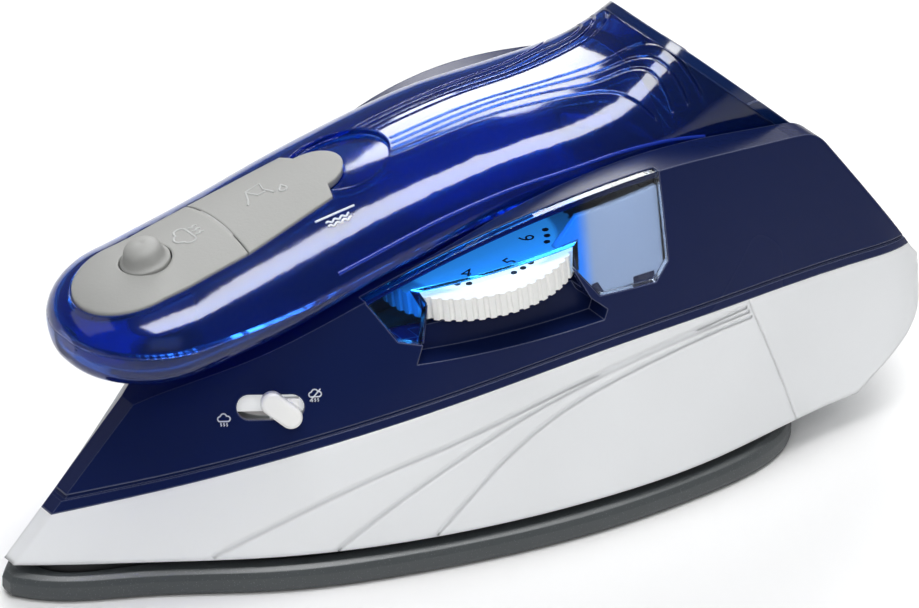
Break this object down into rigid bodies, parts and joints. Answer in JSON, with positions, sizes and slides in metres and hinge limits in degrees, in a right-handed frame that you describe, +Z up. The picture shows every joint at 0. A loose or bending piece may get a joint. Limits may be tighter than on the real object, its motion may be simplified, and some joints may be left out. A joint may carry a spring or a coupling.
{
  "type": "travel steam iron",
  "caption": "Compact travel steam iron with a folding clear-blue water-tank handle, thumb-wheel thermostat, steam slider, burst button and filler flap.",
  "frame": {"origin": "on the pressing face, under the middle of the iron's length and width", "axes": "+X from nose to tail, +Y to the iron's right-hand side, +Z up; the handle is folded down"},
  "size_m": [0.1998, 0.08, 0.0856],
  "materials": {
    "navy_plastic": "satin, moulded in navy blue",
    "white_plastic": "satin, moulded in cool white",
    "tank_blue": "glossy, clear royal blue",
    "window_blue": "glossy, clear blue",
    "sole_coating": "dark grey non-stick coat, satin",
    "pad_grey": "light grey, matt",
    "control_white": "smooth white",
    "steel": "bright",
    "heater_steel": "heat-darkened",
    "aluminium_sheet": "rolled",
    "brass": "plain",
    "ceramic": "unglazed",
    "shield_black": "heat-proof black",
    "silicone": "silicone rubber",
    "hose_rubber": "milky silicone",
    "black_rubber": "matt",
    "wire_brown": "insulation",
    "wire_blue": "insulation",
    "wire_green": "insulation",
    "lamp_red": "tinted"
  },
  "bodies": {
    "iron": {"soleplate": "sole_coating", "heating_element": "heater_steel", "chamber_screws": "steel", "sole_screws": "steel", "steam_chamber_gasket": "silicone", "steam_chamber_cover": "aluminium_sheet", "heat_shield": "shield_black", "thermostat_base": "ceramic", "thermostat_blades": "brass", "thermal_fuse": "aluminium_sheet", "valve_body": "control_white", "valve_seal": "silicone", "housing_screws": "steel", "rear_cover_screws": "steel", "skirt": "white_plastic", "rear_cover": "white_plastic", "hinge_pin_left": "steel", "hinge_pin_right": "steel", "hinge_seal": "black_rubber", "hinge_washers": "black_rubber", "upper_housing": "navy_plastic", "dial_window": "window_blue", "lamp_diffuser": "control_white", "pilot_lamp": "lamp_red", "cord_gland": "black_rubber", "terminal_block": "control_white", "water_hose": "hose_rubber", "live_wire": "wire_brown", "neutral_wire": "wire_blue", "earth_wire": "wire_green", "heater_wire": "wire_brown", "fuse_wire": "wire_brown"},
    "dial": {"temperature_dial": "control_white", "thermostat_shaft": "brass"},
    "slider": {"steam_slider": "control_white"},
    "needle": {"valve_needle": "brass"},
    "handle": {"tank_upper": "tank_blue", "tank_lower": "tank_blue", "handle_end_plate": "tank_blue", "outlet_tube": "hose_rubber", "button_pad": "pad_grey", "pump_cylinder": "control_white", "pump_valve": "silicone", "pump_spring": "steel"},
    "flap": {"filler_flap": "pad_grey", "filler_plug": "pad_grey"},
    "button": {"steam_button": "pad_grey", "pump_piston": "control_white"}
  },
  "joints": [
    {"name": "handle_fold", "type": "hinge", "parent": "iron", "child": "handle", "pos_m": [0.058, 0, 0.058], "axis": [0, 1, 0], "range_deg": [0, 35]},
    {"name": "dial_turn", "type": "hinge", "parent": "iron", "child": "dial", "pos_m": [-0.0051, -0.0165, 0.05097], "axis": [-0.1392, 0, 0.9903], "range_deg": [-135, 135]},
    {"name": "steam_slide", "type": "slide", "parent": "iron", "child": "slider", "axis": [0.8709, -0.4915, 0], "range_m": [-0.006, 0]},
    {"name": "needle_lift", "type": "slide", "parent": "iron", "child": "needle", "axis": [0, 0, 1], "range_m": [0, 0.0015]},
    {"name": "flap_lift", "type": "hinge", "parent": "handle", "child": "flap", "pos_m": [-0.0526, 0, 0.06714], "axis": [0, -1, 0], "range_deg": [0, 90]},
    {"name": "steam_press", "type": "slide", "parent": "handle", "child": "button", "axis": [0.2588, 0, -0.9659], "range_m": [0, 0.0022], "stiffness_N_per_m": 300, "springref_m": -0.002, "deforming": ["pump_spring"]}
  ],
  "couplings": [
    {"joint": "needle_lift", "follows": "steam_slide", "ratio": -0.25}
  ]
}
